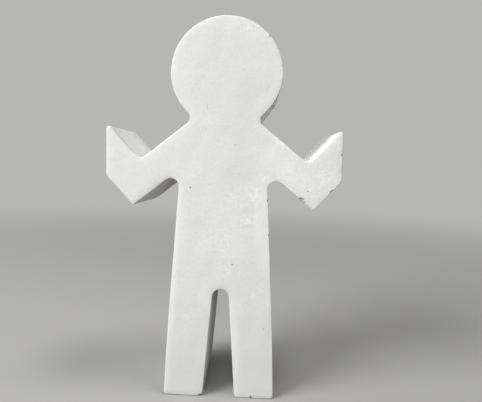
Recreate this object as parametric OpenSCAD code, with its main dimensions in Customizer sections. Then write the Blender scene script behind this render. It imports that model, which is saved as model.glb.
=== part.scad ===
// Standing plaster figurine: a flat person with a round head and raised hands.
// The outline lies in the XZ plane and runs straight through the depth along Y.
// It is one pour of plaster. Each module below is one region of that pour, and
// neighbouring regions share a flat cut at the neck, shoulders, elbows and hips.
// Millimetres, +Z up, the front faces -Y, and the soles stand on Z = 0.
// Left and right are the figure's own, so its left side lies towards +X.

/* [Casting] */
// Thickness from the front face to the back face
casting_depth = 28; // [12:0.5:60]

/* [Head] */
// Diameter of the round head
head_d = 31.5; // [24:0.1:44]
// How far the head dips below the peak where both shoulder slopes would meet
head_sink = 10.2; // [6:0.1:14]
// Fillet radius between the head and the shoulder slope
neck_fillet_r = 1.5; // [0.5:0.1:3.5]

/* [Torso] */
// Width of the torso at the armpits
chest_w = 24.9; // [16:0.1:36]
// Height of the sharp armpit corner above the soles
armpit_z = 67.1; // [50:0.1:90]
// Fillet radius in the armpit
armpit_fillet_r = 2.3; // [0.5:0.1:3.5]

/* [Arms] */
// Fall of the upper arm below horizontal, in degrees
arm_slope = 38.7; // [30:0.1:46]
// Width of the upper arm, square to its slope
arm_w = 9.1; // [6:0.1:13]
// Distance of the inner elbow corner from the middle of the figure
elbow_x = 24; // [21:0.1:27]
// Fillet radius on the inside of the elbow
elbow_fillet_r = 1.8; // [0.5:0.1:3]
// Rounding on the outside of the elbow
elbow_round_r = 0.6; // [0.3:0.1:2.5]

/* [Hands] */
// Rise of the forearm above horizontal, in degrees
forearm_rise = 47; // [38:0.1:54]
// Width of the forearm, square to its rise
forearm_w = 10.4; // [8:0.1:13]
// Distance across the outer edges of both hands
hand_span = 67.6; // [61:0.1:84]
// Rounding of the fingertip corner
fingertip_round_r = 0.8; // [0.3:0.1:1.4]
// Rounding of the corner below the fingertips
hand_heel_round_r = 2; // [0.3:0.1:6]

/* [Legs] */
// Distance across the outer edges of both soles
stance_w = 33.4; // [29:0.1:44]
// Gap between the feet at the soles
foot_gap = 9.2; // [6.5:0.1:14]
// Diameter of the round top of the gap
crotch_d = 4.9; // [3:0.1:6]
// Height of the top of the gap above the soles
crotch_z = 32.5; // [15:0.1:48]
// Rounding of the sole's corners
sole_round_r = 0.8; // [0.3:0.1:2.5]

/* [Hidden] */
$fn = 96;
plaster_colour = [0.90, 0.90, 0.88];

// Largest turn between two points of a fillet or rounding, in degrees
arc_step = 7.5;
// Flat run between the armpit fillet and the shoulder cut
shoulder_land = 0.5;
// How far the neck reaches into the head where the two merge
neck_overlap = 0.05;

// Points of the outline are [x, z] on the figure's left side; the right side mirrors them.
arm_along = [cos(arm_slope), -sin(arm_slope)];
arm_across = [sin(arm_slope), cos(arm_slope)];
forearm_along = [cos(forearm_rise), sin(forearm_rise)];
forearm_across = [-sin(forearm_rise), cos(forearm_rise)];
upright = [0, 1];

// Torso and head: the shoulder slope runs parallel to the underside of the arm
armpit = [chest_w / 2, armpit_z];
shoulder_peak = crossing(armpit + arm_w * arm_across, arm_along, [0, 0], upright);
head_r = head_d / 2;
head_centre = shoulder_peak + (head_r - head_sink) * upright;

// Neck fillet: touches the head from outside and the shoulder slope from above.
// The neck is narrowest, and is cut, level with the fillet's centre.
neck_start = shoulder_peak + neck_fillet_r * arm_across - head_centre;
neck_foot = shoulder_peak + reach(neck_start, arm_along, head_r + neck_fillet_r) * arm_along;
neck_centre = neck_foot + neck_fillet_r * arm_across;
neck_side = neck_centre - [neck_fillet_r, 0];
neck_top = neck_centre + neck_fillet_r * unit(head_centre - neck_centre);
neck_seat = neck_top + neck_overlap * unit(head_centre - neck_centre);

// Arm and hand
elbow_in = shoulder_peak + elbow_x / arm_along.x * arm_along;
elbow_out = crossing(armpit, arm_along, elbow_in - forearm_w * forearm_across, forearm_along);
hand_edge = [hand_span / 2, 0];
fingertip = crossing(elbow_in, forearm_along, hand_edge, upright);
hand_heel = crossing(elbow_out, forearm_along, hand_edge, upright);

// Legs: the round top of the gap springs from the hip cut
sole_outer = [stance_w / 2, 0];
sole_inner = [foot_gap / 2, 0];
hip_inner = [crotch_d / 2, crotch_z - crotch_d / 2];
hip_outer = crossing(sole_outer, armpit - sole_outer, hip_inner, [1, 0]);

// Shoulder cut: upright, just outside the armpit fillet
armpit_run = touch_length(armpit, sole_outer, elbow_out, armpit_fillet_r) + shoulder_land;
shoulder_low = armpit + armpit_run * arm_along;
shoulder_high = crossing(shoulder_peak, arm_along, shoulder_low, upright);

// Side of the areas that pick out a region, larger than the whole figure
zone = 2 * (head_centre.y + head_r + hand_span);

function unit(v) = v / norm(v);
function flip(p) = [-p.x, p.y];
function reversed(list) = [for (i = [len(list) - 1 : -1 : 0]) list[i]];

// A closed outline from its left half, which runs from the middle to the middle
function with_mirror(half) = concat(half, reversed([for (p = half) flip(p)]));

// Where the line through p along u crosses the line through q along v
function crossing(p, u, q, v) = p + u * cross(q - p, v) / cross(u, v);

// How far to go from p along the unit vector u to be at distance d from the origin
function reach(p, u, d) = -p * u + sqrt((p * u) ^ 2 - p * p + d ^ 2);

// Distance from a corner to where an arc of radius r touches its sides, towards a and b
function touch_length(corner, a, b, r) =
    r / tan(acos(unit(a - corner) * unit(b - corner)) / 2);

// Points of the shorter arc round a centre, from one point to another
function arc(centre, from, to) =
    let (
        start = atan2(from.y - centre.y, from.x - centre.x),
        end = atan2(to.y - centre.y, to.x - centre.x),
        turn = (end - start + 540) % 360 - 180,
        steps = ceil(abs(turn) / arc_step)
    )
    [for (i = [0 : steps])
        let (angle = start + turn * i / steps)
        centre + norm(from - centre) * [cos(angle), sin(angle)]];

// Points that round a corner between its neighbours a and b
function rounding(corner, a, b, r) =
    let (
        to_a = unit(a - corner),
        to_b = unit(b - corner),
        touch = touch_length(corner, a, b, r),
        centre = corner + unit(to_a + to_b) * norm([touch, r])
    )
    arc(centre, corner + touch * to_a, corner + touch * to_b);

// Carries an outline through the depth of the casting, upright
module cast() {
    color(plaster_colour)
        rotate([90, 0, 0])
            linear_extrude(height = casting_depth, center = true)
                children();
}

// Round disc, cut level at the neck, with the upper half of each neck fillet
module head() {
    cast() {
        intersection() {
            translate(head_centre) circle(head_r);
            translate([-zone / 2, neck_side.y]) square(zone);
        }
        fillet = arc(neck_centre, neck_side, neck_top);
        sweep = [for (i = [0 : len(fillet) - 2]) fillet[i]];
        polygon(with_mirror(concat(sweep, [neck_seat])));
    }
}

// From the neck to the hips, with both shoulders and the round top of the leg gap
module torso() {
    left_half = concat(
        arc(neck_centre, neck_side, neck_foot),
        [shoulder_high, shoulder_low],
        rounding(armpit, shoulder_low, hip_outer, armpit_fillet_r),
        [hip_outer]
    );
    cast() difference() {
        polygon(with_mirror(left_half));
        translate([0, hip_inner.y]) circle(crotch_d / 2);
    }
}

// Upper arm and raised hand in one outline, outside the shoulder cut
module arm_outline() {
    polygon(concat(
        [shoulder_low, shoulder_high],
        rounding(elbow_in, shoulder_high, fingertip, elbow_fillet_r),
        rounding(fingertip, elbow_in, hand_heel, fingertip_round_r),
        rounding(hand_heel, fingertip, elbow_out, hand_heel_round_r),
        rounding(elbow_out, hand_heel, shoulder_low, elbow_round_r)
    ));
}

// All that lies on one side of the mitre through both elbow corners:
// 1 for the side of the hand, -1 for the side of the torso
module beside_elbow(side) {
    mitre = zone * unit(elbow_in - elbow_out);
    past = [side * zone, 0];
    polygon([elbow_in + mitre, elbow_out - mitre, elbow_out - mitre + past, elbow_in + mitre + past]);
}

module upper_arm() {
    cast() intersection() {
        arm_outline();
        beside_elbow(-1);
    }
}

module forearm() {
    cast() intersection() {
        arm_outline();
        beside_elbow(1);
    }
}

module leg() {
    cast() polygon(concat(
        [hip_inner],
        rounding(sole_inner, hip_inner, sole_outer, sole_round_r),
        rounding(sole_outer, sole_inner, hip_outer, sole_round_r),
        [hip_outer]
    ));
}

module left_upper_arm() { upper_arm(); }
module right_upper_arm() { mirror([1, 0, 0]) upper_arm(); }
module left_forearm() { forearm(); }
module right_forearm() { mirror([1, 0, 0]) forearm(); }
module left_leg() { leg(); }
module right_leg() { mirror([1, 0, 0]) leg(); }

head();
torso();
left_upper_arm();
right_upper_arm();
left_forearm();
right_forearm();
left_leg();
right_leg();
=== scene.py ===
import math

import bmesh
import bpy
import numpy as np
from mathutils import Matrix, Vector
from mathutils.geometry import delaunay_2d_cdt


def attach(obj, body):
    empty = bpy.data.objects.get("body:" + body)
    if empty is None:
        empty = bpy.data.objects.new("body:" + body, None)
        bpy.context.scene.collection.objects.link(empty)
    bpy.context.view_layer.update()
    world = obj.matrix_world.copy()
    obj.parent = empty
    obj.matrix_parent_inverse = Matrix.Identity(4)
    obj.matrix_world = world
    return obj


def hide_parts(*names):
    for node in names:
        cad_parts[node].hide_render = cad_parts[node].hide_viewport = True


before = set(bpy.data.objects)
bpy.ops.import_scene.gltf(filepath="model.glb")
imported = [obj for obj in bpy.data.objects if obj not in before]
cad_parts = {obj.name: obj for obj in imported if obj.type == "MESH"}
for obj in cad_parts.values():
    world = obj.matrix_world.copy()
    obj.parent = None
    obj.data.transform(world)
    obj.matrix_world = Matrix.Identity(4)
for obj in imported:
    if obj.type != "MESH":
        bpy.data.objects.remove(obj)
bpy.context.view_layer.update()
metre = 0.001  # the shapes below are worked out in millimetres
print("frame loaded:", ", ".join(sorted(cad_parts)))

# Outline of the casting, [x, z] seen from the front. Left is the figure's own left, towards +x.
figure = dict(
    depth=28.0,
    headWide=31.5, headSink=10.2, headLean=0.26, neckRound=1.5,
    headLift=0.30, liftAbove=3.0, liftBelow=8.0,
    chestWide=24.9, armpitHigh=67.1, armpitRound=2.3,
    armSlope=38.7, armThick=9.1, elbowReach=24.0, elbowRound=1.8,
    forearmRise=47.0, forearmThick=10.4, handSpan=67.6, fingertipRound=0.8,
    handWear=dict(left=0.25, right=0.0), heelRound=dict(left=2.7, right=1.7),
    elbowTipRound=dict(left=0.8, right=0.5),
    stanceWide=33.4, footGap=9.5, soleRound=0.9,
    soleTuck=0.42, tuckHigh=32.0, tuckSteps=60, sideEnd=4.0,
    crotchWide=4.9, crotchHigh=32.5,
)
upright = np.array([0.0, 1.0])


def unit(v):
    # v over its length
    return v / np.linalg.norm(v)


def heading(degrees):
    # unit vector at an angle above +x
    return np.array([math.cos(math.radians(degrees)), math.sin(math.radians(degrees))])


def smooth(x):
    # 3 x^2 - 2 x^3 between 0 and 1
    x = np.clip(x, 0, 1)
    return x * x * (3 - 2 * x)


def crossOf(a, b):
    # area spanned by two flat vectors
    return a[0] * b[1] - a[1] * b[0]


def crossing(p, along, q, other):
    # p plus t times along, where t is the ratio of the two spanned areas that puts it on the other line
    return p + along * crossOf(q - p, other) / crossOf(along, other)


def arcPoints(centre, start, end, gap=0.05):
    # centre + r (cos a, sin a), with a even over the shorter turn from start to end
    radius = np.linalg.norm(start - centre)
    first = math.atan2(*(start - centre)[::-1])
    last = math.atan2(*(end - centre)[::-1])
    turn = (last - first + math.pi) % (2 * math.pi) - math.pi
    angle = first + turn * np.linspace(0, 1, math.ceil(abs(turn) * radius / gap) + 2)
    return centre + radius * np.column_stack([np.cos(angle), np.sin(angle)])


def roundedCorner(corner, before, after, radius):
    # arc that touches both sides at radius / tan(half the corner's angle)
    toBefore, toAfter = unit(before - corner), unit(after - corner)
    half = math.acos(toBefore @ toAfter) / 2
    centre = corner + unit(toBefore + toAfter) * radius / math.sin(half)
    touch = radius / math.tan(half)
    return arcPoints(centre, corner + touch * toBefore, corner + touch * toAfter)


def landmarks(f, headLean=0.0):
    # corners of the left half: the arm's parallel edges, the forearm's edges and the hand's
    # upright edge, crossed with each other
    arm, foreArm = heading(-f["armSlope"]), heading(f["forearmRise"])
    armAcross, foreAcross = heading(90 - f["armSlope"]), heading(90 + f["forearmRise"])
    armpit = np.array([f["chestWide"] / 2, f["armpitHigh"]])
    peak = crossing(armpit + f["armThick"] * armAcross, arm, np.zeros(2), upright)
    headRadius = f["headWide"] / 2
    head = peak + (headRadius - f["headSink"]) * upright + np.array([headLean, 0])
    start = peak + f["neckRound"] * armAcross - head
    reach = headRadius + f["neckRound"]
    run = -start @ arm + math.sqrt((start @ arm) ** 2 - start @ start + reach ** 2)
    neckFoot = peak + run * arm
    neck = neckFoot + f["neckRound"] * armAcross
    elbowIn = peak + f["elbowReach"] / arm[0] * arm
    elbowOut = crossing(armpit, arm, elbowIn - f["forearmThick"] * foreAcross, foreArm)
    edge = np.array([f["handSpan"] / 2, 0])
    hip = np.array([f["crotchWide"] / 2, f["crotchHigh"] - f["crotchWide"] / 2])
    return dict(
        head=head, neck=neck, neckFoot=neckFoot,
        neckTop=neck + f["neckRound"] * unit(head - neck),
        elbowIn=elbowIn, elbowOut=elbowOut, armpit=armpit,
        fingertip=crossing(elbowIn, foreArm, edge, upright),
        heel=crossing(elbowOut, foreArm, edge, upright),
        soleOuter=np.array([f["stanceWide"] / 2, 0]), soleInner=np.array([f["footGap"] / 2, 0]),
        hip=hip, arch=np.array([0, hip[1]]),
    )


def halfOutline(f, k, hand):
    # one half from the top of the head round to the top of the leg gap, arcs joined by straight lines;
    # the side of the leg draws in by tuck (1 - z / high)^2 towards the sole,
    # and the lower half of the head lifts
    z = np.linspace(f["tuckHigh"], 0, f["tuckSteps"])
    side = k["soleOuter"] + (k["armpit"] - k["soleOuter"]) * (z / k["armpit"][1])[:, None]
    side[:, 0] -= f["soleTuck"] * (1 - z / f["tuckHigh"]) ** 2
    aboveSole = side[side[:, 1] > f["sideEnd"]]
    wear = np.array([f["handWear"][hand], 0])
    fingertip, heel = k["fingertip"] - wear, k["heel"] - wear
    head = np.vstack([
        arcPoints(k["head"], k["head"] + f["headWide"] / 2 * upright, k["neckTop"]),
        arcPoints(k["neck"], k["neckTop"], k["neckFoot"]),
    ])
    above, below = head[:, 1] - k["neckFoot"][1], k["head"][1] - head[:, 1]
    head[:, 1] += f["headLift"] * smooth(above / f["liftAbove"]) * smooth(below / f["liftBelow"])
    return np.vstack([
        head,
        roundedCorner(k["elbowIn"], k["neckFoot"], fingertip, f["elbowRound"]),
        roundedCorner(fingertip, k["elbowIn"], heel, f["fingertipRound"]),
        roundedCorner(heel, fingertip, k["elbowOut"], f["heelRound"][hand]),
        roundedCorner(k["elbowOut"], heel, k["armpit"], f["elbowTipRound"][hand]),
        roundedCorner(k["armpit"], k["elbowOut"], k["soleOuter"], f["armpitRound"]),
        aboveSole,
        roundedCorner(side[-1], aboveSole[-1], k["soleInner"], f["soleRound"]),
        roundedCorner(k["soleInner"], k["soleOuter"], k["hip"], f["soleRound"]),
        arcPoints(k["arch"], k["hip"], k["arch"] + f["crotchWide"] / 2 * upright),
    ])


def evenLoop(points, step, reach=2):
    # closed polyline resampled at even steps of its length; outward normal is the tangent turned left
    closed = np.vstack([points, points[:1]])
    length = np.concatenate([[0], np.cumsum(np.hypot(*np.diff(closed, axis=0).T))])
    s = np.arange(0, length[-1], step)
    even = np.column_stack([np.interp(s, length, closed[:, i]) for i in (0, 1)])
    tangent = np.roll(even, -reach, 0) - np.roll(even, reach, 0)
    tangent /= np.hypot(*tangent.T)[:, None]
    return s, length[-1], even, np.column_stack([-tangent[:, 1], tangent[:, 0]])


marks = landmarks(figure)
mirror = np.array([-1, 1])
leftHalf = halfOutline(figure, landmarks(figure, figure["headLean"]), "left")
rightHalf = halfOutline(figure, landmarks(figure, -figure["headLean"]), "right") * mirror
loopStep = 0.05
loopAt, loopLength, loopPoint, loopNormal = evenLoop(np.vstack([leftHalf, rightHalf[-2:0:-1]]), loopStep)
print(f"outline: {loopLength:.1f} mm round")

# What the cast and its use left on it, with painted shade and light. Pits and dents: x, z, half width,
# half height, lean, depth, painted shade.
front = dict(
    face=-figure["depth"] / 2, rim=0.26, rimUneven=0.05, rimWave=6.0, rimSeed=21, gap=0.6,
    fineDent=0.5, toneDeep=6.0, toneFade=5.0,
    pits=[
        (-9.32, 61.88, 0.24, 0.17, 20, 0.50, 1.0), (3.16, 40.00, 0.16, 0.16, 0, 0.45, 1.0),
        (12.84, 21.24, 0.14, 0.15, 0, 0.30, 0.7), (24.16, 61.69, 0.18, 0.14, 10, 0.35, 0.8),
        (7.55, 107.01, 0.10, 0.14, -20, 0.20, 0.6), (6.18, 106.10, 0.26, 0.10, 10, 0.16, 0.5),
        (-4.92, 84.60, 0.08, 1.15, 2.5, 0.05, 0.30), (3.09, 74.34, 0.13, 0.12, 0, 0.15, 0.35),
        (4.62, 66.03, 0.12, 0.12, 0, 0.15, 0.35), (1.14, 59.84, 0.12, 0.11, 0, 0.15, 0.30),
        (6.68, 59.15, 0.13, 0.11, 30, 0.15, 0.35), (-5.35, 78.75, 0.12, 0.12, 0, 0.12, 0.30),
        (-10.15, 22.23, 0.12, 0.12, 0, 0.12, 0.30), (9.48, 34.54, 0.12, 0.12, 0, 0.12, 0.30),
    ],
    dents=[
        (5.09, 94.95, 0.45, 0.35, 40, 0.06, 0.12), (4.61, 57.00, 0.75, 0.85, 0, 0.05, 0),
        (8.85, 57.93, 0.55, 1.00, 25, 0.06, 0), (6.38, 52.83, 1.80, 0.70, 8, 0.04, 0),
        (10.2, 62.6, 0.80, 1.10, 0, 0.05, 0), (11.6, 65.6, 0.90, 0.45, 30, 0.05, 0),
        (-21.65, 66.45, 0.35, 2.10, 0, 0.04, 0), (-9.71, 24.19, 1.00, 0.80, 0, 0.04, 0),
        (1.6, 38.9, 0.60, 0.50, 0, 0.05, 0), (12.0, 35.0, 0.70, 0.50, 0, 0.04, 0),
        (28.82, 68.09, 0.28, 0.18, 40, 0.05, 0.10), (28.98, 67.21, 0.34, 0.16, 40, 0.06, 0.12),
        (29.20, 65.84, 0.16, 0.38, -20, 0.05, 0.10), (28.91, 65.10, 0.16, 0.40, -10, 0.06, 0.10),
        (29.50, 65.44, 0.16, 0.32, -25, 0.05, 0.10), (27.83, 64.87, 0.34, 0.18, 35, 0.06, 0.10),
        (29.30, 64.26, 0.30, 0.18, 45, 0.06, 0.12), (9.10, 57.64, 0.16, 0.50, -30, 0.06, 0.12),
        (8.41, 57.32, 0.20, 0.34, -40, 0.05, 0.10), (7.89, 58.11, 0.28, 0.16, 35, 0.05, 0.10),
        (8.62, 60.54, 0.24, 0.16, 20, 0.05, 0.10), (9.90, 60.98, 0.30, 0.16, 30, 0.05, 0.10),
        (3.99, 57.79, 0.16, 0.34, 0, 0.05, 0.10), (4.57, 58.41, 0.34, 0.16, -20, 0.05, 0.10),
    ],
    # white rubbed patches: x, z, half width, half height, lean, strength
    scuff=[
        (4.5, 56.9, 1.0, 1.1, 0, 0.9), (8.7, 60.0, 2.8, 4.4, 0, 0.55), (9.6, 61.8, 1.1, 1.6, 0, 0.8),
        (9.3, 57.5, 0.9, 1.0, 20, 0.8), (11.9, 64.7, 2.4, 1.5, -15, 0.7), (7.0, 52.9, 3.4, 1.5, 6, 0.7),
        (2.6, 59.4, 2.2, 1.8, 0, 0.35), (1.4, 38.0, 2.2, 1.9, 0, 0.5), (-9.8, 24.2, 1.4, 1.1, 0, 0.6),
        (9.3, 30.8, 1.5, 1.3, 0, 0.5), (2.0, 46.0, 9.0, 8.0, 0, 0.22), (20.4, 65.3, 7.0, 4.0, -38, 0.35),
        (28.4, 67.3, 0.30, 1.10, -45, 0.8), (28.6, 65.6, 2.6, 2.4, 0, 0.45),
        (29.8, 64.1, 0.5, 0.4, 0, 0.9), (27.9, 65.5, 0.4, 0.4, 0, 0.8),
        (17.0, 74.2, 3.6, 1.2, -38, 0.7), (6.0, 106.2, 1.0, 0.6, 0, 1.0),
    ],
    # painted shade and painted light in soft patches: darker and cooler on the head, neck, chest, one
    # arm and the feet; paler on an arm, the flank and belly and along the shoulder and leg edges; in the
    # same measures
    paintedShade=[
        (0.5, 96.5, 16.0, 17.0, 0, 0.45), (5.0, 91.0, 9.0, 12.0, 0, 0.60),
        (3.0, 81.0, 8.0, 9.0, 0, 0.50), (3.8, 70.0, 7.5, 9.0, 0, 0.45),
        (-24.5, 69.0, 8.0, 8.0, 0, 0.20), (-10.5, 5.0, 11.0, 22.0, 0, 0.58),
        (10.0, 8.0, 10.0, 22.0, 0, 0.52),
    ],
    # painted light: paler patches, and painted highlights along the shoulder and leg edges
    pale=[
        (18.5, 68.0, 11.0, 6.0, -38, 0.60), (12.2, 52.0, 4.5, 17.0, 4, 0.62),
        (28.5, 65.5, 6.0, 6.0, 0, 0.25), (2.0, 48.0, 9.0, 10.0, 0, 0.15),
        (16.6, 76.2, 7.5, 2.4, -38, 0.50), (-16.6, 76.2, 7.5, 2.2, 38, 0.36),
        (4.8, 16.0, 1.7, 15.0, 4, 0.42), (-14.4, 32.0, 2.0, 32.0, -3.8, 0.34),
    ],
)
# Places where the front edge is rubbed to a broader round: from, to, reach, width, drop
rubbed = [
    ((26.6, 72.3), (33.2, 78.4), 1.9, 1.9, 0.20),
    ((22.6, 70.2), (26.0, 71.4), 1.8, 1.0, 0.12),
    ((-22.6, 70.2), (-25.6, 71.0), 2.0, 1.2, 0.14),
    ((-13.2, 62.0), (-16.6, 3.0), 1.6, 2.3, 0.19),
    ((2.6, 28.0), (4.5, 3.0), 1.2, 2.3, 0.19),
    ((-33.8, 65.0), (-33.8, 75.5), 1.6, 1.9, 0.16),
    ((-12.4, 80.6), (-21.5, 73.3), 1.6, 2.6, 0.155),
    ((12.4, 80.6), (21.5, 73.3), 1.6, 1.7, 0.28),
    ((-24.6, 57.3), (-15.2, 64.9), 1.6, 2.6, 0.165),
    ((-16.3, 0.2), (-5.0, 0.2), 1.6, 1.2, 0.16),
    ((5.0, 0.2), (16.3, 0.2), 1.6, 1.2, 0.15),
]
# Places where it stayed crisp: from, to, reach, share of the rounding that is missing
crisp = [
    ((13.0, 66.5), (25.0, 57.0), 2.2, 0.85),
    ((26.0, 57.5), (33.0, 64.5), 2.0, 0.60),
    ((13.2, 62.0), (16.6, 2.0), 2.0, 0.45),
    ((-2.6, 28.0), (-4.5, 3.0), 1.2, 0.40),
    ((12.8, 103.5), (16.0, 95.0), 2.0, 0.55),
    ((16.0, 95.0), (14.0, 87.5), 2.0, 0.35),
]
# Walls that lean out or in: from, to with the outer side on the right, reach, lean at the back
leans = [
    ((-22.8, 58.8), (-13.5, 66.3), 2.5, 0.44),
    ((-27.2, 56.6), (-26.2, 55.7), 1.8, 0.45),
    ((32.6, 78.7), (25.5, 71.1), 2.5, 0.18),
    ((-25.5, 71.1), (-30.5, 76.5), 1.8, -0.15),
    ((12.2, 84.3), (13.6, 86.2), 1.6, -0.40),
]
handled = dict(width=2.2, drop=0.11)  # the slight fall of the front all along its edge
# Painted brown shade along a front edge, where the rim turns away from the light: from, to, width,
# strength
edgeShade = [
    ((-31.8, 78.1), (-25.7, 71.5), 0.50, 0.48),
    ((14.6, 65.4), (25.4, 56.8), 0.45, 0.12),
]
# Bits knocked out of the edges: centre x, y, z, half sizes, stain
chips = [
    ((22.15, -14.15, 59.25), (1.00, 0.70, 0.75), 0.8),
    ((23.25, -14.05, 58.40), (0.45, 0.45, 0.40), 0.0),
    ((33.75, -13.90, 72.18), (0.75, 0.90, 0.36), 0.6),
    ((31.10, -13.90, 61.75), (0.75, 0.90, 0.68), 0.6),
    ((13.20, -13.90, 58.80), (0.62, 0.90, 0.36), 0.6),
    ((13.85, -13.90, 48.89), (0.60, 0.80, 0.45), 0.5),
    ((9.70, -14.00, -0.05), (0.30, 1.30, 1.00), 0.7),
    ((-3.92, -14.60, -2.51), (3.63, 2.60, 3.63), 0.3),
    ((3.10, -14.60, -1.50), (3.09, 2.20, 3.09), 0.0),
    ((12.55, -14.05, 104.70), (0.75, 0.85, 0.60), 0.2),
    ((16.25, -13.90, 96.60), (0.70, 0.80, 0.36), 0.6),
    ((-3.95, -14.10, 109.60), (0.75, 0.60, 0.55), 0.0),
]
# The back face and the walls, with seeded air bubbles kept clear of their edges
back = dict(
    face=figure["depth"] / 2, rim=0.40, rimUneven=0.12, rimWave=5.0, rimSeed=22, gap=0.7,
    pits=34, pitSize=(0.12, 0.38), seed=7, clear=1.3,
)
wall = dict(gap=0.75, pits=44, pitSize=(0.10, 0.26), seed=11, clear=2.0, seamClear=3.0)
bubble = dict(tries=6, tall=(0.75, 1.1), deep=(0.9, 1.8), hollowShade=0.7)
relief = dict(height=0.035, base=1.2, size=9.0, onWall=0.35, seed=3)
# Steps of the mesh: rows of a rim, columns round the outline by its turn over a span of loop points,
# and steps in a mark by its size
rimRows = 8
columns = dict(turn=0.14, span=4, least=0.09, most=0.42)
markStep, markReach = 0.32, 1.9
chip = dict(gap=0.16, margin=0.5, rough=0.05, wave=0.7, seed=40, stainEnd=1.25)
clearShare = 0.5  # of the local step, kept free between an inner point and an edge
insetEvery = 4  # loop points are skipped to this one when an inset is measured
blockSize = 2000  # points that are worked out at a time
# Where soft effects end, in half sizes, widths or reaches, and how broadly the painted shade of a pit
# fades
ends = dict(pit=1.25, dent=1.1, patch=1.2, edgeShade=1.3, stretch=1.6)
pitFade = 0.5
crispRim = 0.6  # of the rim's radius, missing where the edge is fully crisp


def waves(p, size, seed, count=20, spread=(0.6, 1.6)):
    # sum of sine waves about one size long in random directions, scaled to about -1 to 1
    draw = np.random.default_rng(seed)
    way = draw.normal(size=(count, p.shape[1]))
    way /= np.linalg.norm(way, axis=1)[:, None]
    turns = 2 * math.pi / (size * draw.uniform(*spread, count))
    phase = draw.uniform(0, 2 * math.pi, count)
    return np.sin(p @ (way * turns[:, None]).T + phase).sum(1) / math.sqrt(count)


def columnsAround():
    # places along the outline, closer where it bends and beside a chip:
    # equal steps of the summed density
    bearing = np.unwrap(np.arctan2(loopNormal[:, 1], loopNormal[:, 0]))
    span = columns["span"]
    bend = np.abs(np.roll(bearing, -span) - np.roll(bearing, span))
    bend = np.minimum(bend, 2 * math.pi - bend) / (2 * span * loopStep)
    gap = np.clip(columns["turn"] / np.maximum(bend, 1e-6), columns["least"], columns["most"])
    for centre, half, _ in chips:
        away = np.hypot(*(loopPoint - (centre[0], centre[2])).T)
        gap = np.where(away < max(half) + chip["margin"], np.minimum(gap, chip["gap"]), gap)
    total = np.cumsum(loopStep / gap)
    count = int(total[-1])
    return np.interp(np.arange(count) * total[-1] / count, total, loopAt)


def onLoop(s):
    # outline point and outward normal at places s, interpolated round the loop
    grid = np.append(loopAt, loopLength)

    def at(values):
        # both columns at s, with the first row again at the end of the loop
        closed = np.vstack([values, values[:1]])
        return np.column_stack([np.interp(s, grid, closed[:, i]) for i in (0, 1)])

    normal = at(loopNormal)
    return at(loopPoint), normal / np.hypot(*normal.T)[:, None]


def hexGrid(low, high, gap):
    # rows gap * sqrt(3) / 2 apart, every other row moved by half a gap
    rows = np.arange(low[1], high[1], gap * math.sqrt(3) / 2)
    u, v = np.meshgrid(np.arange(low[0], high[0], gap), rows)
    u = u + gap / 2 * (np.arange(len(rows)) % 2)[:, None]
    return np.column_stack([u.ravel(), v.ravel()])


def ovalCoords(p, oval):
    # p in the turned frame of an oval, where its rim is at length 1
    x, y, halfWide, halfTall, lean = oval[:5]
    c, s = heading(lean)
    d = p - (x, y)
    u, v = d[:, 0] * c + d[:, 1] * s, d[:, 1] * c - d[:, 0] * s
    return np.column_stack([u / halfWide, v / halfTall])


def meshPoints(low, high, gap, ovals, discs):
    # an even grid, swapped for a finer one inside each disc (x, y, radius, gap) and each oval
    points = hexGrid(low, high, gap)
    room = np.full(len(points), gap)
    fine = [((x, y, r, r, 0), step / r, 1.0) for x, y, r, step in discs]
    fine += [(oval, markStep, markReach) for oval in ovals]
    for oval, step, reach in fine:
        keep = np.hypot(*ovalCoords(points, oval).T) > reach
        local = hexGrid((-reach, -reach), (reach, reach), step)
        local = local[np.hypot(*local.T) <= reach - step / 2]
        c, s = heading(oval[4])
        u, v = local[:, 0] * oval[2], local[:, 1] * oval[3]
        added = np.column_stack([oval[0] + u * c - v * s, oval[1] + u * s + v * c])
        points = np.vstack([points[keep], added])
        room = np.append(room[keep], np.full(len(added), step * min(oval[2], oval[3])))
    return points, room


def blocksOf(points):
    # the points in runs that keep the arrays of all distances small
    return np.array_split(points, len(points) // blockSize + 1)


def nearest(points, loop):
    # distance to the closest loop point
    return np.concatenate([np.sqrt(((b[:, None] - loop) ** 2).sum(2).min(1)) for b in blocksOf(points)])


def inside(points, loop):
    # an odd number of loop edges lies to the right of the point
    a, b = loop, np.roll(loop, -1, 0)
    lean = (b[:, 0] - a[:, 0]) / np.where(b[:, 1] == a[:, 1], 1e-12, b[:, 1] - a[:, 1])

    def odd(p):
        # counts the edges that span the point's height and pass it further right
        spans = (a[:, 1] > p[:, 1:]) != (b[:, 1] > p[:, 1:])
        return (spans & (p[:, :1] < a[:, 0] + (p[:, 1:] - a[:, 1]) * lean)).sum(1) % 2 == 1

    return np.concatenate([odd(p) for p in blocksOf(points)])


def triangles(points, loop):
    # Delaunay triangles of the points that lie inside the closed loop of point numbers
    edges = np.column_stack([loop, np.roll(loop, -1)])
    insideOnly, mergeWithin = 1, 1e-7
    found = delaunay_2d_cdt(points.tolist(), edges.tolist(), [], insideOnly, mergeWithin)
    if len(found[0]) != len(points):
        raise RuntimeError(f"{len(points)} points became {len(found[0])}")
    return np.array(found[2])


def capOf(loop, gap, ovals, discs):
    # points inside a loop, clear of its edge, and the triangles that join both
    points, room = meshPoints(loop.min(0), loop.max(0), gap, ovals, discs)
    points = points[inside(points, loop) & (nearest(points, loop) > clearShare * room)]
    return points, triangles(np.vstack([loop, points]), np.arange(len(loop)))


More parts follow.
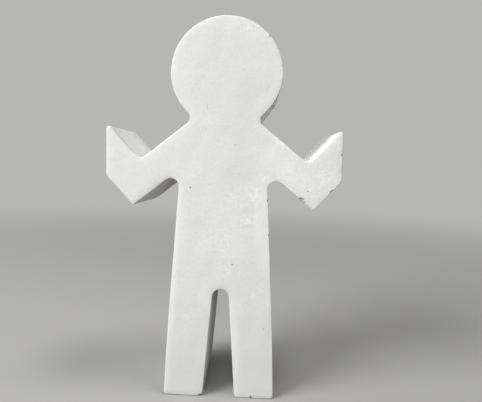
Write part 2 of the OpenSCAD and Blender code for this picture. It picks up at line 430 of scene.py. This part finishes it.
def sink(p, pits, dents=()):
    # depth of round-bottomed pits, sqrt(1 - q^2), and soft dents, (1 - q^2)^2, q being 1 at the rim;
    # the painted shade in both fades out just past the rim
    depth, hollowShade = np.zeros(len(p)), np.zeros(len(p))
    for pit in pits:
        q = np.hypot(*ovalCoords(p, pit).T)
        depth = np.maximum(depth, pit[5] * np.sqrt(np.clip(1 - q * q, 0, 1)))
        hollowShade = np.maximum(hollowShade, pit[6] * smooth((ends["pit"] - q) / pitFade))
    for dent in dents:
        q = np.hypot(*ovalCoords(p, dent).T)
        depth = depth + dent[5] * np.clip(1 - q * q, 0, 1) ** 2
        hollowShade = np.maximum(hollowShade, dent[6] * smooth(ends["dent"] - q))
    return depth, hollowShade


def fromStretch(p, a, b):
    # distance to the nearest point a + t (b - a), t held between 0 and 1
    run = np.subtract(b, a)
    t = np.clip((p - a) @ run / (run @ run), 0, 1)
    return np.hypot(*(p - a - t[:, None] * run).T)


def nearStretch(p, a, b, reach):
    # smooth fall of the distance over the reach: 1 beside the stretch, 0 where its effect ends
    return smooth(ends["stretch"] - fromStretch(p, a, b) / reach)


def crispness(p):
    # strongest share of the crisp stretches near by
    share = np.zeros(len(p))
    for a, b, reach, most in crisp:
        share = np.maximum(share, most * nearStretch(p, a, b, reach))
    return share


def rubDrop(p, inset):
    # drop towards the edge, (1 - inset / width)^2: a slight one all round, less where it is crisp,
    # or the deepest of the rubbed stretches near by
    drop = handled["drop"] * np.clip(1 - inset / handled["width"], 0, 1) ** 2 * (1 - crispness(p))
    for a, b, reach, width, most in rubbed:
        share = nearStretch(p, a, b, reach) * np.clip(1 - inset / width, 0, 1) ** 2
        drop = np.maximum(drop, most * share)
    return drop


def leanOut(at):
    # shift to the right of each stretch, growing evenly from the front face to the back
    shift = np.zeros((len(at), 2))
    share = (at[:, 1] - front["face"]) / figure["depth"]
    for a, b, reach, most in leans:
        run = unit(np.subtract(b, a))
        near = nearStretch(at[:, [0, 2]], a, b, reach)
        shift += (most * share * near)[:, None] * np.array([run[1], -run[0]])
    return shift


def patches(p, ovals):
    # strongest of the soft ovals: its strength times a smooth fall that ends just past its rim
    share = np.zeros(len(p))
    for oval in ovals:
        share = np.maximum(share, oval[5] * smooth(ends["patch"] - np.hypot(*ovalCoords(p, oval).T)))
    return share


def scattered(settings, low, high, allowed):
    # seeded air bubbles in the measures of a pit, their depth about as large as their size, each with
    # painted shade in it
    draw = np.random.default_rng(settings["seed"])
    place = draw.uniform(low, high, (settings["pits"] * bubble["tries"], 2))
    place = place[allowed(place)][:settings["pits"]]
    small, large = settings["pitSize"]
    size = small + (large - small) * draw.uniform(0, 1, len(place)) ** 2
    tall = size * draw.uniform(*bubble["tall"], len(place))
    lean = draw.uniform(0, 180, len(place))
    depth = size * draw.uniform(*bubble["deep"], len(place))
    hollowShade = np.full(len(place), bubble["hollowShade"])
    return np.column_stack([place, size, tall, lean, depth, hollowShade]).tolist()


def buildSkin():
    # the outline carried along its rims and wall, with a cap on each face,
    # as vertices, triangles and masks
    s = columnsAround()
    point, normal = onLoop(s)
    count = len(s)
    column = np.arange(count)
    atRow = np.column_stack([point[:, 0], np.zeros(count), point[:, 1]])
    frontRim = front["rim"] + front["rimUneven"] * waves(atRow, front["rimWave"], front["rimSeed"])
    frontRim *= 1 - crispRim * crispness(point)
    backRim = back["rim"] + back["rimUneven"] * waves(atRow, back["rimWave"], back["rimSeed"])
    bow = np.linspace(0, math.pi / 2, rimRows)[:, None]

    def rim(face, radius, toFace):
        # quarter round from the cap to the wall: inset r (1 - sin a), set back r (1 - cos a)
        inset = radius * (1 - np.sin(bow))
        flat = point - inset[..., None] * normal
        y = face - toFace * radius * (1 - np.cos(bow))
        outX, outZ = normal[:, 0] * np.sin(bow), normal[:, 1] * np.sin(bow)
        outY = np.broadcast_to(toFace * np.cos(bow), outX.shape)
        return np.stack([flat[..., 0], y, flat[..., 1]], -1), np.stack([outX, outY, outZ], -1), inset

    frontAt, frontOut, frontInset = rim(front["face"], frontRim, -1)
    backAt, backOut, _ = rim(back["face"], backRim, 1)
    backAt, backOut = backAt[::-1], backOut[::-1]
    frontLoop, backLoop = frontAt[0][:, [0, 2]], backAt[-1][:, [0, 2]]

    chipDiscs = [(c[0], c[2], max(h[0], h[2]) + chip["margin"], chip["gap"]) for c, h, _ in chips]
    fineDents = [dent for dent in front["dents"] if min(dent[2:4]) < front["fineDent"]]
    frontIn, frontTri = capOf(frontLoop, front["gap"], front["pits"] + fineDents, chipDiscs)
    clear = lambda p: inside(p, backLoop) & (nearest(p, backLoop) > back["clear"])
    backPits = scattered(back, backLoop.min(0), backLoop.max(0), clear)
    backIn, backTri = capOf(backLoop, back["gap"], backPits, [])
    print(f"caps: {len(frontTri)} front and {len(backTri)} back triangles")

    # the wall unrolled: s round the outline, y through the depth; its two ends are one seam
    low, high = front["face"] + front["rim"], back["face"] - back["rim"]
    clearOf = np.array([wall["seamClear"], wall["clear"]])
    wallLow, wallHigh = np.array([0, low]) + clearOf, np.array([loopLength, high]) - clearOf
    anywhere = lambda p: np.ones(len(p), dtype=bool)
    wallPits = scattered(wall, wallLow, wallHigh, anywhere)
    chipAt = [loopAt[np.argmin(np.hypot(*(loopPoint - (c[0], c[2])).T))] for c, _, _ in chips]
    discs = [(at, low, max(h) + chip["margin"], chip["gap"]) for at, (_, h, _) in zip(chipAt, chips)]
    wallIn, room = meshPoints((0, low), (loopLength, high), wall["gap"], wallPits, discs)
    edgeRoom = np.minimum(wallIn[:, 1] - low, high - wallIn[:, 1])
    seamRoom = np.minimum(wallIn[:, 0], loopLength - wallIn[:, 0])
    wallIn = wallIn[np.minimum(edgeRoom, seamRoom) > clearShare * room]
    seam = np.linspace(low, high, int((high - low) / wall["gap"]) + 2)[1:-1]

    # number of the first vertex in each section
    sections = [len(frontIn), rimRows * count, len(seam), len(wallIn), rimRows * count, len(backIn)]
    firsts = np.concatenate([[0], np.cumsum(sections)[:-1]])
    frontFirst, frontRimFirst, seamFirst, wallFirst, backRimFirst, backFirst = firsts
    frontRow = frontRimFirst + np.arange(rimRows * count).reshape(rimRows, count)
    backRow = backRimFirst + np.arange(rimRows * count).reshape(rimRows, count)
    seamRow = seamFirst + np.arange(len(seam))

    def strip(rows):
        # two triangles for each cell between neighbouring rows, closed round the loop
        a, b = rows[:-1, column], rows[:-1, np.roll(column, -1)]
        c, d = rows[1:, np.roll(column, -1)], rows[1:, column]
        return np.vstack([np.stack(three, -1).reshape(-1, 3) for three in ((a, b, c), (a, c, d))])

    lower, upper = frontRow[-1], backRow[0]
    ring = [
        (np.column_stack([s, np.full(count, low)]), lower),
        (np.array([[loopLength, low]]), lower[:1]),
        (np.column_stack([np.full(len(seam), loopLength), seam]), seamRow),
        (np.array([[loopLength, high]]), upper[:1]),
        (np.column_stack([s, np.full(count, high)])[::-1], upper[::-1]),
        (np.column_stack([np.zeros(len(seam)), seam])[::-1], seamRow[::-1]),
    ]
    flat = np.vstack([place for place, _ in ring] + [wallIn])
    number = np.concatenate([ids for _, ids in ring] + [wallFirst + np.arange(len(wallIn))])
    wallTri = number[triangles(flat, np.arange(len(flat) - len(wallIn)))]
    capNumber = lambda row, first, inner: np.concatenate([row, first + np.arange(inner)])
    frontTri = capNumber(frontRow[0], frontFirst, len(frontIn))[frontTri]
    backTri = capNumber(backRow[-1], backFirst, len(backIn))[backTri][:, ::-1]
    tri = np.vstack([frontTri, strip(frontRow), wallTri, strip(backRow), backTri])

    # places and outward directions of all sections
    wallFlat = np.vstack([np.column_stack([np.zeros(len(seam)), seam]), wallIn])
    wallPoint, wallNormal = onLoop(wallFlat[:, 0])
    edgeDrop = rubDrop(point, np.zeros(count))
    grid = np.append(s, loopLength)
    start = np.interp(wallFlat[:, 0], grid, np.append(frontRim + edgeDrop, frontRim[0] + edgeDrop[0]))
    end = np.interp(wallFlat[:, 0], grid, np.append(backRim, backRim[0]))
    share = (wallFlat[:, 1] - low) / (high - low)
    wallY = front["face"] + start + share * (figure["depth"] - start - end)
    wallAt = np.column_stack([wallPoint[:, 0], wallY, wallPoint[:, 1]])
    wallOut = np.column_stack([wallNormal[:, 0], np.zeros(len(wallFlat)), wallNormal[:, 1]])
    frontDrop = rubDrop(frontIn, nearest(frontIn, loopPoint[::insetEvery]))
    rimDrop = np.stack([rubDrop(row[:, [0, 2]], gap) for row, gap in zip(frontAt, frontInset)])
    frontAt[..., 1] += rimDrop
    across = lambda n, y: np.column_stack([np.zeros(n), np.full(n, y), np.zeros(n)])
    flatAt = lambda p, y: np.column_stack([p[:, 0], y + np.zeros(len(p)), p[:, 1]])
    at = np.vstack([flatAt(frontIn, front["face"] + frontDrop), frontAt.reshape(-1, 3), wallAt,
                    backAt.reshape(-1, 3), flatAt(backIn, back["face"])])
    out = np.vstack([across(len(frontIn), -1), frontOut.reshape(-1, 3), wallOut,
                     backOut.reshape(-1, 3), across(len(backIn), 1)])

    at[:, [0, 2]] += leanOut(at)
    # slow swells of the surface, always inwards, then pits and dents, then chips
    hollowShade, edge, stainAndShade = np.zeros((3, len(at)))
    # scuffs, and the patches of painted shade and painted light, on the front only
    toFront = smooth((front["face"] + front["toneDeep"] - at[:, 1]) / front["toneFade"])
    tones = {key: toFront * patches(at[:, [0, 2]], front[key]) for key in ("scuff", "paintedShade", "pale")}
    depth = relief["height"] * (relief["base"] + waves(at, relief["size"], relief["seed"]))
    depth *= relief["onWall"] + (1 - relief["onWall"]) * np.abs(out[:, 1])
    # pits and dents sink the surface, and each carries painted shade in its hollow
    marked = [
        (frontFirst, frontIn, front["pits"], front["dents"]),
        (seamFirst, wallFlat, wallPits, ()),
        (backFirst, backIn, backPits, ()),
    ]
    for first, place, pits, dents in marked:
        cut = slice(first, first + len(place))
        pitDepth, hollowShade[cut] = sink(place, pits, dents)
        depth[cut] += pitDepth
    # painted brown shade along the listed front edges, put into the same mask as the chips' stain
    for a, b, width, strength in edgeShade:
        away = fromStretch(at[:, [0, 2]], a, b)
        away = np.hypot(away, at[:, 1] - front["face"] - front["rim"] / 2)
        stainAndShade = np.maximum(stainAndShade, strength * smooth(ends["edgeShade"] - away / width))
    at -= out * np.maximum(depth, 0)[:, None]
    # rim mask, fullest mid-round: it lightens the colour as a painted highlight and lowers the roughness
    edge[frontRimFirst:seamFirst] = np.repeat(np.sin(2 * bow[:, 0]), count)
    edge[backRimFirst:backFirst] = np.repeat(np.sin(2 * bow[::-1, 0]), count)
    for i, (centre, half, dirt) in enumerate(chips):
        q = (at - centre) / half
        length = np.maximum(np.linalg.norm(q, axis=1), 1e-6)
        rough = 1 + chip["rough"] / min(half) * waves(at, chip["wave"], chip["seed"] + i)
        bitten = length < rough
        at[bitten] = (centre + q / length[:, None] * rough[:, None] * half)[bitten]
        stainAndShade = np.maximum(stainAndShade, dirt * smooth((chip["stainEnd"] - length) / (chip["stainEnd"] - 1)))
    return at, tri, dict(pit=hollowShade, edge=edge, stainAndShade=stainAndShade, face=np.abs(out[:, 1]), **tones)


def meshFrom(name, at, tri, masks):
    # arrays straight into a mesh, masks as point attributes
    mesh = bpy.data.meshes.new(name)
    mesh.vertices.add(len(at))
    mesh.vertices.foreach_set("co", (at * metre).astype(np.float32).ravel())
    mesh.loops.add(tri.size)
    mesh.loops.foreach_set("vertex_index", tri.astype(np.int32).ravel())
    mesh.polygons.add(len(tri))
    mesh.polygons.foreach_set("loop_start", np.arange(0, tri.size, 3, dtype=np.int32))
    mesh.update(calc_edges=True)
    for key, value in masks.items():
        mesh.attributes.new(key, "FLOAT", "POINT").data.foreach_set("value", value.astype(np.float32))
    return mesh


skin = meshFrom("skin", *buildSkin())
print(f"skin: {len(skin.polygons)} triangles")


class Wire:
    # an output socket; arithmetic on it adds Math nodes to its tree
    def __init__(self, tree, socket=None):
        self.tree, self.socket = tree, socket

    def node(self, kind, settings, sockets, out=0):
        # a new node: its settings first, then the value or link of each named or numbered socket
        made = self.tree.nodes.new(kind)
        for name, value in settings.items():
            setattr(made, name, value)
        for name, value in sockets.items():
            if isinstance(value, Wire):
                self.tree.links.new(value.socket, made.inputs[name])
            else:
                made.inputs[name].default_value = value
        return Wire(self.tree, made.outputs[out])

    def math(self, operation, *values):
        # the operation on the values, in their order
        return self.node("ShaderNodeMath", dict(operation=operation), dict(enumerate(values)))

    def __add__(self, other):
        # this value plus the other
        return self.math("ADD", self, other)

    def __sub__(self, other):
        # this value less the other
        return self.math("SUBTRACT", self, other)

    def __mul__(self, other):
        # this value times the other
        return self.math("MULTIPLY", self, other)

    __radd__ = __add__
    __rmul__ = __mul__

    def ramp(self, low, high):
        # 0 at low to 1 at high, eased at both ends
        return self.node("ShaderNodeMapRange", dict(interpolation_type="SMOOTHSTEP"),
                         {"Value": self, "From Min": low, "From Max": high})

    def mix(self, a, b):
        # colour a where this value is 0, colour b where it is 1;
        # colours have sockets 6 and 7 and output 2
        return self.node("ShaderNodeMix", dict(data_type="RGBA"), {0: self, 6: a, 7: b}, 2)


def newTree(owner):
    # an empty node tree and a starting wire on it
    owner.use_nodes = True
    owner.node_tree.nodes.clear()
    return owner.node_tree, Wire(owner.node_tree)


plasterLook = dict(
    # the duller and paler colours are painted shade and painted light for the soft patches; the darkest
    # is painted shade in pits; the brown is stain in chips and also painted shade along two edges
    white=(0.778, 0.788, 0.787, 1), cool=(0.754, 0.767, 0.769, 1), chalk=(0.818, 0.825, 0.824, 1),
    shade=(0.700, 0.708, 0.705, 1), paintedShade=(0.690, 0.712, 0.722, 1), pale=(0.865, 0.868, 0.862, 1),
    scuffed=(0.925, 0.930, 0.927, 1), hollowShadeColour=(0.13, 0.115, 0.10, 1), brownStainAndShade=(0.36, 0.31, 0.27, 1),
    # noises: size in metres, detail, roughness
    cloud=(0.011, 3, 0.5), mottle=(0.0032, 4, 0.6), fleck=(0.0010, 3, 0.6), grain=(0.00045, 3, 0.55),
    # value of the noise at which a tone begins to show, and at which it shows in full
    cloudAt=(0.35, 0.70), mottleAt=(0.50, 0.72), fleckAt=(0.50, 0.70), grainAt=(0.55, 0.75),
    scuffAt=(0.56, 0.43), holeAt=(0.55, 0.66), stainAndShadeAt=(0.30, 0.60),
    # share of the tone below that is covered
    mottleShare=0.50, fleckShare=0.75, grainShare=0.50, rimHighlightShare=0.35, holeShare=0.50, pitShare=0.85,
    roughness=0.72, roughGrain=0.22, grainMiddle=0.5, roughEdge=0.10, specular=0.30,
    # weight of each noise in the relief, the share left on the walls, and the bump itself
    grainHeight=0.25, mottleHeight=1.0, fleckHeight=0.6, scuffHeight=0.6, onWall=0.4,
    bumpStrength=0.60, bumpDistance=0.00014,
)


def plasterMaterial(look):
    # white cast plaster: slow cool clouds, chalky mottle, fine flecks and grain, each mixed over the
    # one before; then patches of painted shade and painted light, a painted highlight on the rims and
    # the scuffs; then brown stain in chips, painted brown shade along two edges and painted shade in
    # pits
    material = bpy.data.materials.new("plaster")
    tree, w = newTree(material)
    place = w.node("ShaderNodeTexCoord", {}, {}, "Object")
    mask = lambda name: w.node("ShaderNodeAttribute", dict(attribute_name=name), {}, "Fac")
    noise = lambda size, detail, rough: w.node("ShaderNodeTexNoise", {}, {
        "Vector": place, "Scale": 1 / size, "Detail": detail, "Roughness": rough})
    cloud, mottle, fleck, grain = [noise(*look[key]) for key in ("cloud", "mottle", "fleck", "grain")]
    pit, edge, stainAndShade, face = mask("pit"), mask("edge"), mask("stainAndShade"), mask("face")
    scuff, paintedShade, pale = mask("scuff"), mask("paintedShade"), mask("pale")

    colour = cloud.ramp(*look["cloudAt"]).mix(look["white"], look["cool"])
    colour = (mottle.ramp(*look["mottleAt"]) * look["mottleShare"]).mix(colour, look["chalk"])
    colour = (fleck.ramp(*look["fleckAt"]) * look["fleckShare"]).mix(colour, look["shade"])
    colour = (grain.ramp(*look["grainAt"]) * look["grainShare"]).mix(colour, look["cool"])
    # painted shade: darker, cooler patches on the head, neck, chest, one arm and the feet
    colour = paintedShade.mix(colour, look["paintedShade"])
    # painted light: paler patches, and painted highlights along the shoulder and leg edges
    colour = pale.mix(colour, look["pale"])
    # painted highlight: the rims lightened towards chalk
    colour = (edge * look["rimHighlightShare"]).mix(colour, look["chalk"])
    colour = (scuff * fleck.ramp(*look["scuffAt"])).mix(colour, look["scuffed"])
    colour = (scuff * fleck.ramp(*look["holeAt"]) * look["holeShare"]).mix(colour, look["shade"])
    # brown: real stain in the chips, and painted shade along two front edges
    colour = (stainAndShade * mottle.ramp(*look["stainAndShadeAt"])).mix(colour, look["brownStainAndShade"])
    # painted shade in the pits, dents and bubbles
    colour = (pit * look["pitShare"]).mix(colour, look["hollowShadeColour"])
    roughness = look["roughness"] + look["roughGrain"] * (grain - look["grainMiddle"])
    roughness = roughness - look["roughEdge"] * edge
    height = grain * look["grainHeight"] + mottle * look["mottleHeight"]
    height = height + fleck * (look["fleckHeight"] + look["scuffHeight"] * scuff)
    height = height * (look["onWall"] + (1 - look["onWall"]) * face)
    bump = w.node("ShaderNodeBump", {}, {
        "Strength": look["bumpStrength"], "Distance": look["bumpDistance"], "Height": height})
    shader = w.node("ShaderNodeBsdfPrincipled", {}, {
        "Base Color": colour, "Roughness": roughness, "Normal": bump,
        "Specular IOR Level": look["specular"]})
    tree.links.new(shader.socket, tree.nodes.new("ShaderNodeOutputMaterial").inputs["Surface"])
    return material


plaster = plasterMaterial(plasterLook)
print("plaster material ready")

# Flat cuts that part the skin into the named regions, [x, z]:
# a point on the cut and the way that is cut off
elbowAcross = unit(marks["elbowIn"] - marks["elbowOut"])
pastElbow = np.array([elbowAcross[1], -elbowAcross[0]])
shoulderTouch = figure["armpitRound"] / math.tan(math.acos(
    unit(marks["soleOuter"] - marks["armpit"]) @ unit(marks["elbowOut"] - marks["armpit"])) / 2)
shoulderLand = 0.5  # flat run between the armpit's arc and the cut
shoulder = marks["armpit"] + (shoulderTouch + shoulderLand) * heading(-figure["armSlope"])
right = np.array([1.0, 0.0])
aboveNeck, belowHip = (marks["neck"], upright), (marks["arch"], -upright)
pastShoulder, pastMitre = (shoulder, right), (marks["elbowOut"], pastElbow)


def otherWay(cut):
    # the same cut with its other side cut off
    return cut[0], -cut[1]


def mirrored(cut):
    # the same cut on the other side of the figure
    return cut[0] * mirror, cut[1] * mirror


leftArm = [otherWay(pastShoulder), pastMitre]
leftHand = [otherWay(pastMitre), otherWay(pastShoulder)]
regions = dict(
    head=[otherWay(aboveNeck)],
    torso=[aboveNeck, belowHip, pastShoulder, mirrored(pastShoulder)],
    left_upper_arm=leftArm, right_upper_arm=[mirrored(cut) for cut in leftArm],
    left_forearm=leftHand, right_forearm=[mirrored(cut) for cut in leftHand],
    left_leg=[otherWay(belowHip), (np.zeros(2), -right)],
    right_leg=[otherWay(belowHip), (np.zeros(2), right)],
)


def partOfSkin(node, cuts):
    # the skin with all beyond each cut removed and the opening closed flat, its rim kept sharp
    shape = bmesh.new()
    shape.from_mesh(skin)
    for point, away in cuts:
        cut = bmesh.ops.bisect_plane(
            shape, geom=shape.verts[:] + shape.edges[:] + shape.faces[:], dist=1e-8, clear_outer=True,
            plane_co=(point[0] * metre, 0, point[1] * metre), plane_no=(away[0], 0, away[1]))
        rim = [e for e in cut["geom_cut"] if isinstance(e, bmesh.types.BMEdge)]
        for e in rim:
            e.smooth = False
        closed = bmesh.ops.holes_fill(shape, edges=rim, sides=0)["faces"]
        bmesh.ops.triangulate(shape, faces=closed)
    openEdges = sum(not e.is_manifold for e in shape.edges)
    mesh = bpy.data.meshes.new(f"plaster_{node}")
    shape.to_mesh(mesh)
    shape.free()
    mesh.materials.append(plaster)
    mesh.polygons.foreach_set("use_smooth", np.ones(len(mesh.polygons), dtype=bool))
    piece = bpy.data.objects.new(f"plaster_{node}", mesh)
    bpy.context.scene.collection.objects.link(piece)
    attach(piece, "root")
    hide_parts(node)
    print(f"{piece.name}: {len(mesh.polygons)} triangles, {openEdges} open edges")


for node, cuts in regions.items():
    partOfSkin(node, cuts)

stage = dict(
    radius=4.0, rings=48, spokes=96, pale=(0.40, 0.396, 0.388, 1), backdrop=(0.47, 0.467, 0.458, 1),
    bounce=(0.16, 0.14, 0.12, 1), fadeFrom=0.12, fadeTo=0.60,
    ambient=(0.94, 0.97, 1.0, 1), ambientLevel=0.16,
)


def floorDisc(settings):
    # level disc: radius r along spokes, rings closer together near the middle
    r = settings["radius"] * np.linspace(0, 1, settings["rings"] + 1)[1:] ** 2
    a = np.linspace(0, 2 * math.pi, settings["spokes"], endpoint=False)
    x, y = r[:, None] * np.cos(a), r[:, None] * np.sin(a)
    at = np.stack([x, y, np.zeros(x.shape)], -1).reshape(-1, 3)
    ids = np.arange(len(at)).reshape(len(r), len(a))
    nxt = np.roll(ids, -1, 1)
    quads = np.stack([ids[:-1], ids[1:], nxt[1:], nxt[:-1]], -1).reshape(-1, 4).tolist()
    mesh = bpy.data.meshes.new("floor")
    mesh.from_pydata(at.tolist(), [], quads + [ids[0].tolist()])
    floor = bpy.data.objects.new("floor", mesh)
    bpy.context.scene.collection.objects.link(floor)
    return floor


def floorMaterial(settings):
    # pale matte near the figure, fading into the backdrop's tone; other rays meet a quieter tone
    material = bpy.data.materials.new("floor")
    tree, w = newTree(material)
    place = w.node("ShaderNodeTexCoord", {}, {}, "Object")
    away = w.node("ShaderNodeVectorMath", dict(operation="LENGTH"), {0: place}, "Value")
    ray = tree.nodes.new("ShaderNodeLightPath")
    seen = Wire(tree, ray.outputs["Is Camera Ray"])
    tone = seen.mix(settings["bounce"], settings["pale"])
    near = w.node("ShaderNodeBsdfDiffuse", {}, {"Color": tone})
    far = w.node("ShaderNodeEmission", {}, {"Color": settings["backdrop"]})
    fade = away.ramp(settings["fadeFrom"], settings["fadeTo"]) * seen
    both = w.node("ShaderNodeMixShader", {}, {0: fade, 1: near, 2: far})
    tree.links.new(both.socket, tree.nodes.new("ShaderNodeOutputMaterial").inputs["Surface"])
    return material


floor = floorDisc(stage)
floor.data.materials.append(floorMaterial(stage))

world = bpy.data.worlds.new("studio")
bpy.context.scene.world = world
worldTree, w = newTree(world)
ray = worldTree.nodes.new("ShaderNodeLightPath")
shown = Wire(worldTree, ray.outputs["Is Camera Ray"]) + Wire(worldTree, ray.outputs["Is Glossy Ray"])
shown = shown + Wire(worldTree, ray.outputs["Is Transmission Ray"])
dim = w.node("ShaderNodeBackground", {}, {"Color": stage["ambient"], "Strength": stage["ambientLevel"]})
plain = w.node("ShaderNodeBackground", {}, {"Color": stage["backdrop"], "Strength": 1.0})
sky = w.node("ShaderNodeMixShader", {}, {0: shown, 1: dim, 2: plain})
worldTree.links.new(sky.socket, worldTree.nodes.new("ShaderNodeOutputWorld").inputs["Surface"])

lamps = dict(
    key=dict(at=(-0.49, -0.36, 0.46), size=0.40, power=5.52, colour=(1.0, 1.0, 0.995)),
    top=dict(at=(0.25, -0.10, 0.88), size=0.25, power=2.8, colour=(1.0, 0.99, 0.93)),
    fill=dict(at=(-0.04, -0.60, 0.16), size=0.40, power=1.31, colour=(1.0, 0.985, 0.95)),
    rear=dict(at=(-0.08, 1.30, 0.08), size=0.40, power=11.0, colour=(1.0, 0.98, 0.95)),
)
figureMiddle = Vector((0, 0, 0.06))
for name, lamp in lamps.items():
    light = bpy.data.lights.new(name, "AREA")
    light.size, light.energy, light.color = lamp["size"], lamp["power"], lamp["colour"]
    lampObject = bpy.data.objects.new(name, light)
    aim = (figureMiddle - Vector(lamp["at"])).to_track_quat("-Z", "Y")
    lampObject.matrix_world = Matrix.Translation(lamp["at"]) @ aim.to_matrix().to_4x4()
    lampObject.visible_camera = False
    bpy.context.scene.collection.objects.link(lampObject)
print("floor, backdrop and lamps ready")

# Camera whose depth lines meet at the vanishing pixel; middle is where the lens axis meets the picture
view = dict(
    wide=482, tall=402, focal=452.0, middle=(241.0, 201.0), vanish=(257.44, 164.14), roll=1.755,
    eye=(0.009597, -0.142460, 0.069103),
)
deep = unit(np.append(np.subtract(view["vanish"], view["middle"]), view["focal"]))
up = np.array([math.sin(math.radians(view["roll"])), -math.cos(math.radians(view["roll"])), 0])
up = unit(up - (up @ deep) * deep)
side = np.cross(deep, up)
side = side * np.sign(side[0])
seen = np.array([side, deep, up]).T  # rows: picture right, down and forward, in the frame's axes
turn = Matrix([seen[0], -seen[1], -seen[2]]).transposed()
lens = bpy.data.cameras.new("camera")
lens.sensor_width = 36
lens.lens = lens.sensor_width * view["focal"] / view["wide"]
lens.shift_x = (view["wide"] / 2 - view["middle"][0]) / view["wide"]
lens.shift_y = (view["middle"][1] - view["tall"] / 2) / view["wide"]
lens.clip_start = 0.005
camera = bpy.data.objects.new("camera", lens)
camera.matrix_world = Matrix.Translation(view["eye"]) @ turn.to_4x4()
bpy.context.scene.collection.objects.link(camera)
bpy.context.scene.camera = camera
bpy.context.scene.view_settings.view_transform = "Standard"
